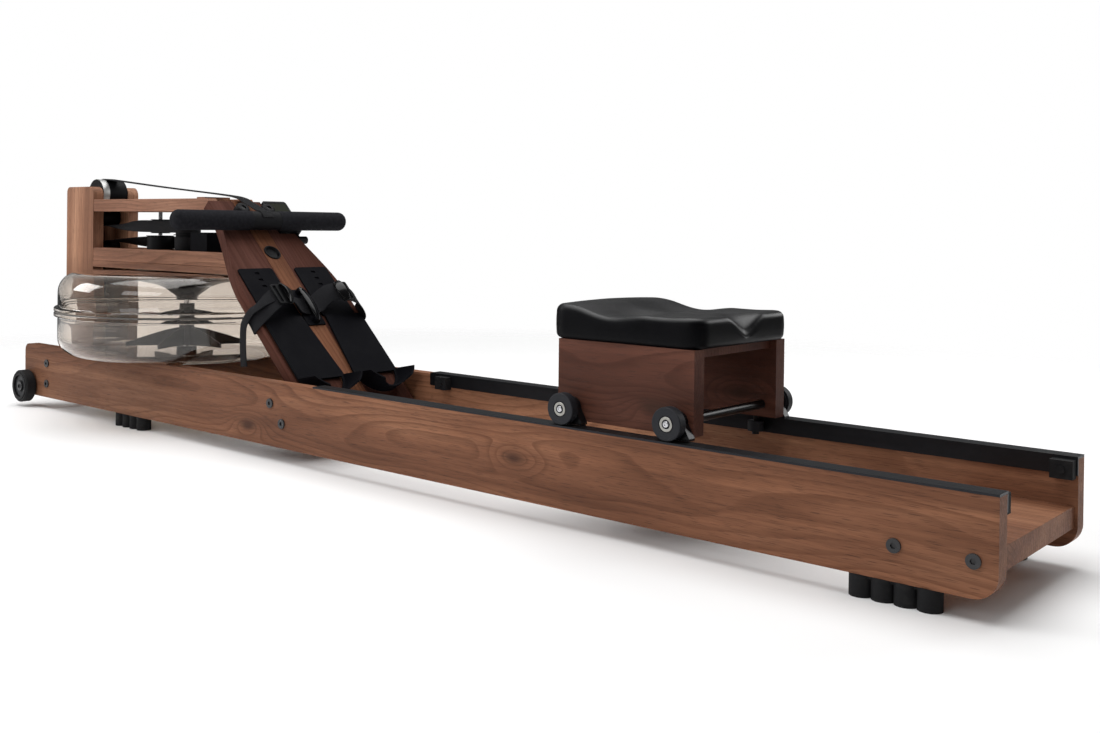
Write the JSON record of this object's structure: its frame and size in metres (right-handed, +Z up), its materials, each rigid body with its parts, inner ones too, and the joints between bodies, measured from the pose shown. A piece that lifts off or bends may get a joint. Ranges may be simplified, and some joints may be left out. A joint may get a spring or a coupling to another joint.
{
  "type": "rowing machine",
  "caption": "Wooden water-resistance rowing machine with a clear tank, strap-pulled handle, sloping footboard with heel plates and a seat rolling on two rails.",
  "frame": {"origin": "middle of the footprint, on the floor", "axes": "+X from the tank end to the seat end, +Y to the right of a person who rows, +Z up"},
  "size_m": [2.067, 0.508, 0.4929],
  "materials": {
    "walnut": "oiled",
    "pale_wood": "oiled",
    "track_metal": "anodised black",
    "black_steel": "satin",
    "bright_steel": "turned",
    "roller_alloy": "turned",
    "rubber": "matt",
    "tyre": "matt",
    "track_wheel": "satin",
    "black_plastic": "fine grain",
    "gloss_black": "glossy",
    "clear_shell": "smoked clear",
    "paddle_plastic": "smooth",
    "webbing": "woven",
    "stretch_cord": "braided",
    "foam_grip": "foam",
    "handle_paint": "textured",
    "seat_skin": "moulded skin",
    "display": "smooth"
  },
  "bodies": {
    "root": {"rail_left": "walnut", "rail_right": "walnut", "rear_spacer": "walnut", "front_crossmember": "walnut", "footboard_block": "walnut", "post_boards": "walnut", "deck_beams": "walnut", "deck_plate": "walnut", "deck_spacers": "walnut", "footboard": "walnut", "footboard_insert": "pale_wood", "tracks": "track_metal", "frame_bolts": "black_steel", "roller_axles": "bright_steel", "feet": "rubber", "track_stops": "rubber", "tank_seal": "rubber", "foot_plates": "black_plastic", "strap_anchor": "black_plastic", "sensor_box": "black_plastic", "tank_plug": "black_plastic", "shaft_bearings": "black_plastic", "monitor_body": "black_plastic", "handle_rests": "gloss_black", "strap_buckles": "gloss_black", "tank_upper": "clear_shell", "tank_lower": "clear_shell", "drive_strap": "webbing", "recoil_belt": "webbing", "foot_straps": "webbing", "recoil_cord": "stretch_cord", "monitor_screen": "display"},
    "handle": {"handle_core": "handle_paint", "handle_grips": "foam_grip"},
    "seat": {"seat_pad": "seat_skin", "seat_boards": "walnut", "seat_axles": "black_steel"},
    "paddle_rotor": {"paddle_shaft": "bright_steel", "paddle": "paddle_plastic"},
    "top_pulley": {"top_pulley": "roller_alloy"},
    "drive_guide_roller": {"drive_guide_roller": "black_plastic"},
    "recoil_guide_roller": {"recoil_guide_roller": "black_plastic"},
    "cord_pulley": {"cord_pulley": "black_plastic"},
    "drive_idler": {"drive_idler": "black_plastic"},
    "recoil_idler": {"recoil_idler": "black_plastic"},
    "drive_spool": {"drive_spool": "black_plastic"},
    "transport_wheel_left": {"transport_wheel_left": "tyre"},
    "transport_wheel_right": {"transport_wheel_right": "tyre"},
    "heel_plate_left": {"heel_plate_left": "black_plastic"},
    "heel_plate_right": {"heel_plate_right": "black_plastic"},
    "monitor_button_1": {"monitor_button_1": "gloss_black"},
    "monitor_button_2": {"monitor_button_2": "gloss_black"},
    "seat_wheel_front_left": {"seat_wheel_front_left": "track_wheel"},
    "seat_wheel_front_right": {"seat_wheel_front_right": "track_wheel"},
    "seat_wheel_rear_left": {"seat_wheel_rear_left": "track_wheel"},
    "seat_wheel_rear_right": {"seat_wheel_rear_right": "track_wheel"},
    "guide_roller_front_left": {"guide_roller_front_left": "track_wheel"},
    "guide_roller_front_right": {"guide_roller_front_right": "track_wheel"},
    "guide_roller_rear_left": {"guide_roller_rear_left": "track_wheel"},
    "guide_roller_rear_right": {"guide_roller_rear_right": "track_wheel"}
  },
  "joints": [
    {"name": "handle_pull", "type": "slide", "parent": "root", "child": "handle", "axis": [0.9968, 0, 0.0797], "range_m": [0, 1.15], "stiffness_N_per_m": 25, "springref_m": -0.6},
    {"name": "top_pulley_spin", "type": "hinge", "parent": "root", "child": "top_pulley", "pos_m": [-0.9425, 0, 0.459], "axis": [0, 1, 0], "continuous": true},
    {"name": "drive_guide_roller_spin", "type": "hinge", "parent": "root", "child": "drive_guide_roller", "pos_m": [-0.9585, 0, 0.4071], "axis": [0, 1, 0], "continuous": true},
    {"name": "recoil_guide_roller_spin", "type": "hinge", "parent": "root", "child": "recoil_guide_roller", "pos_m": [-0.9585, 0, 0.3389], "axis": [0, 1, 0], "continuous": true},
    {"name": "cord_pulley_spin", "type": "hinge", "parent": "root", "child": "cord_pulley", "pos_m": [-0.9623, 0, 0.08], "axis": [0, 1, 0], "continuous": true},
    {"name": "drive_idler_spin", "type": "hinge", "parent": "root", "child": "drive_idler", "pos_m": [-0.7315, 0, 0.39], "axis": [0, 0, 1], "continuous": true},
    {"name": "recoil_idler_spin", "type": "hinge", "parent": "root", "child": "recoil_idler", "pos_m": [-0.7315, 0, 0.356], "axis": [0, 0, 1], "continuous": true},
    {"name": "drive_spool_spin", "type": "hinge", "parent": "root", "child": "drive_spool", "pos_m": [-0.6305, 0, 0.37], "axis": [0, 0, 1], "continuous": true},
    {"name": "paddle_spin", "type": "hinge", "parent": "root", "child": "paddle_rotor", "pos_m": [-0.6305, 0, 0.2], "axis": [0, 0, 1], "continuous": true},
    {"name": "seat_slide", "type": "slide", "parent": "root", "child": "seat", "axis": [1, 0, 0], "range_m": [-0.455, 0.375]},
    {"name": "seat_wheel_front_left_spin", "type": "hinge", "parent": "seat", "child": "seat_wheel_front_left", "pos_m": [0.4635, -0.1365, 0.1573], "axis": [0, 1, 0], "continuous": true},
    {"name": "seat_wheel_front_right_spin", "type": "hinge", "parent": "seat", "child": "seat_wheel_front_right", "pos_m": [0.4635, 0.1365, 0.1573], "axis": [0, 1, 0], "continuous": true},
    {"name": "seat_wheel_rear_left_spin", "type": "hinge", "parent": "seat", "child": "seat_wheel_rear_left", "pos_m": [0.6315, -0.1365, 0.1573], "axis": [0, 1, 0], "continuous": true},
    {"name": "seat_wheel_rear_right_spin", "type": "hinge", "parent": "seat", "child": "seat_wheel_rear_right", "pos_m": [0.6315, 0.1365, 0.1573], "axis": [0, 1, 0], "continuous": true},
    {"name": "guide_roller_front_left_spin", "type": "hinge", "parent": "seat", "child": "guide_roller_front_left", "pos_m": [0.4775, -0.1097, 0.123], "axis": [0, 0, 1], "continuous": true},
    {"name": "guide_roller_front_right_spin", "type": "hinge", "parent": "seat", "child": "guide_roller_front_right", "pos_m": [0.4775, 0.1097, 0.123], "axis": [0, 0, 1], "continuous": true},
    {"name": "guide_roller_rear_left_spin", "type": "hinge", "parent": "seat", "child": "guide_roller_rear_left", "pos_m": [0.6135, -0.1097, 0.123], "axis": [0, 0, 1], "continuous": true},
    {"name": "guide_roller_rear_right_spin", "type": "hinge", "parent": "seat", "child": "guide_roller_rear_right", "pos_m": [0.6135, 0.1097, 0.123], "axis": [0, 0, 1], "continuous": true},
    {"name": "transport_wheel_left_spin", "type": "hinge", "parent": "root", "child": "transport_wheel_left", "pos_m": [-0.9995, -0.16, 0.044], "axis": [0, 1, 0], "continuous": true},
    {"name": "transport_wheel_right_spin", "type": "hinge", "parent": "root", "child": "transport_wheel_right", "pos_m": [-0.9995, 0.16, 0.044], "axis": [0, 1, 0], "continuous": true},
    {"name": "heel_plate_left_slide", "type": "slide", "parent": "root", "child": "heel_plate_left", "axis": [-0.7193, 0, 0.6947], "range_m": [0, 0.032]},
    {"name": "heel_plate_right_slide", "type": "slide", "parent": "root", "child": "heel_plate_right", "axis": [-0.7193, 0, 0.6947], "range_m": [0, 0.032]},
    {"name": "monitor_button_1_press", "type": "slide", "parent": "root", "child": "monitor_button_1", "axis": [-0.6947, 0, -0.7193], "range_m": [0, 0.0008], "stiffness_N_per_m": 300, "springref_m": -0.001},
    {"name": "monitor_button_2_press", "type": "slide", "parent": "root", "child": "monitor_button_2", "axis": [-0.6947, 0, -0.7193], "range_m": [0, 0.0008], "stiffness_N_per_m": 300, "springref_m": -0.001}
  ],
  "couplings": [
    {"joint": "top_pulley_spin", "follows": "handle_pull", "rad_per_m": 30.212},
    {"joint": "drive_guide_roller_spin", "follows": "handle_pull", "rad_per_m": 58.48},
    {"joint": "recoil_guide_roller_spin", "follows": "handle_pull", "rad_per_m": 58.48},
    {"joint": "cord_pulley_spin", "follows": "handle_pull", "rad_per_m": 75.188},
    {"joint": "drive_idler_spin", "follows": "handle_pull", "rad_per_m": -52.356},
    {"joint": "recoil_idler_spin", "follows": "handle_pull", "rad_per_m": -35.587},
    {"joint": "drive_spool_spin", "follows": "handle_pull", "rad_per_m": -39.841},
    {"joint": "seat_wheel_front_left_spin", "follows": "seat_slide", "rad_per_m": 46.948},
    {"joint": "seat_wheel_front_right_spin", "follows": "seat_slide", "rad_per_m": 46.948},
    {"joint": "seat_wheel_rear_left_spin", "follows": "seat_slide", "rad_per_m": 46.948},
    {"joint": "seat_wheel_rear_right_spin", "follows": "seat_slide", "rad_per_m": 46.948},
    {"joint": "guide_roller_front_left_spin", "follows": "seat_slide", "rad_per_m": -90.909},
    {"joint": "guide_roller_front_right_spin", "follows": "seat_slide", "rad_per_m": 90.909},
    {"joint": "guide_roller_rear_left_spin", "follows": "seat_slide", "rad_per_m": -90.909},
    {"joint": "guide_roller_rear_right_spin", "follows": "seat_slide", "rad_per_m": 90.909}
  ]
}
